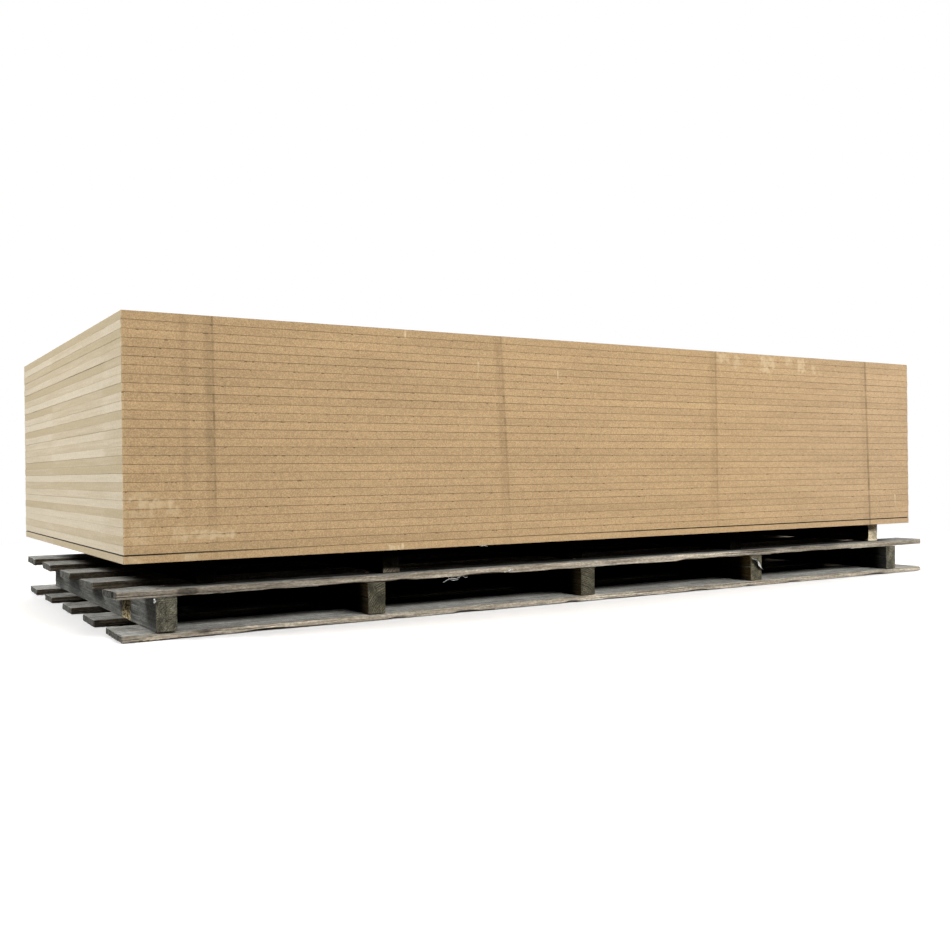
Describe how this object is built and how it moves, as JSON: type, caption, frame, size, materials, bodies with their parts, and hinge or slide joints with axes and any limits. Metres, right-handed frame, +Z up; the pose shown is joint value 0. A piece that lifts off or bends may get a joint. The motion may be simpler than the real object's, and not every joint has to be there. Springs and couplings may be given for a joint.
{
  "type": "pallet of mdf boards",
  "caption": "Pack of raw MDF boards lying flat on sawn bearers on a weathered double-decked timber pallet, ready for a fork-lift.",
  "frame": {"origin": "on the floor under the middle of the pallet", "axes": "+X along the boards, +Y from the front of the pack to its back, +Z up"},
  "size_m": [2.538, 1.2207, 0.662],
  "materials": {
    "mdf": "raw sawn edges and sanded faces, unsealed, matt",
    "bearer_timber": "sawn, pale, unweathered",
    "pallet_timber": "rough sawn softwood, weathered grey, with splits and torn edges"
  },
  "bodies": {
    "root": {"board_01": "mdf", "board_02": "mdf", "board_03": "mdf", "board_04": "mdf", "board_05": "mdf", "board_06": "mdf", "board_07": "mdf", "board_08": "mdf", "board_09": "mdf", "board_10": "mdf", "board_11": "mdf", "board_12": "mdf", "board_13": "mdf", "board_14": "mdf", "board_15": "mdf", "board_16": "mdf", "board_17": "mdf", "board_18": "mdf", "board_19": "mdf", "board_20": "mdf", "board_21": "mdf", "board_22": "mdf", "board_23": "mdf", "board_24": "mdf", "board_25": "mdf", "board_26": "mdf", "board_27": "mdf", "board_28": "mdf", "bearer_1": "bearer_timber", "bearer_2": "bearer_timber", "bearer_3": "bearer_timber", "bearer_4": "bearer_timber", "bearer_5": "bearer_timber", "top_plank_1": "pallet_timber", "top_plank_2": "pallet_timber", "top_plank_3": "pallet_timber", "top_plank_4": "pallet_timber", "top_plank_5": "pallet_timber", "stringer_1": "pallet_timber", "stringer_2": "pallet_timber", "stringer_3": "pallet_timber", "stringer_4": "pallet_timber", "stringer_5": "pallet_timber", "bottom_plank_1": "pallet_timber", "bottom_plank_2": "pallet_timber", "bottom_plank_3": "pallet_timber", "bottom_plank_4": "pallet_timber", "bottom_plank_5": "pallet_timber"}
  },
  "joints": []
}
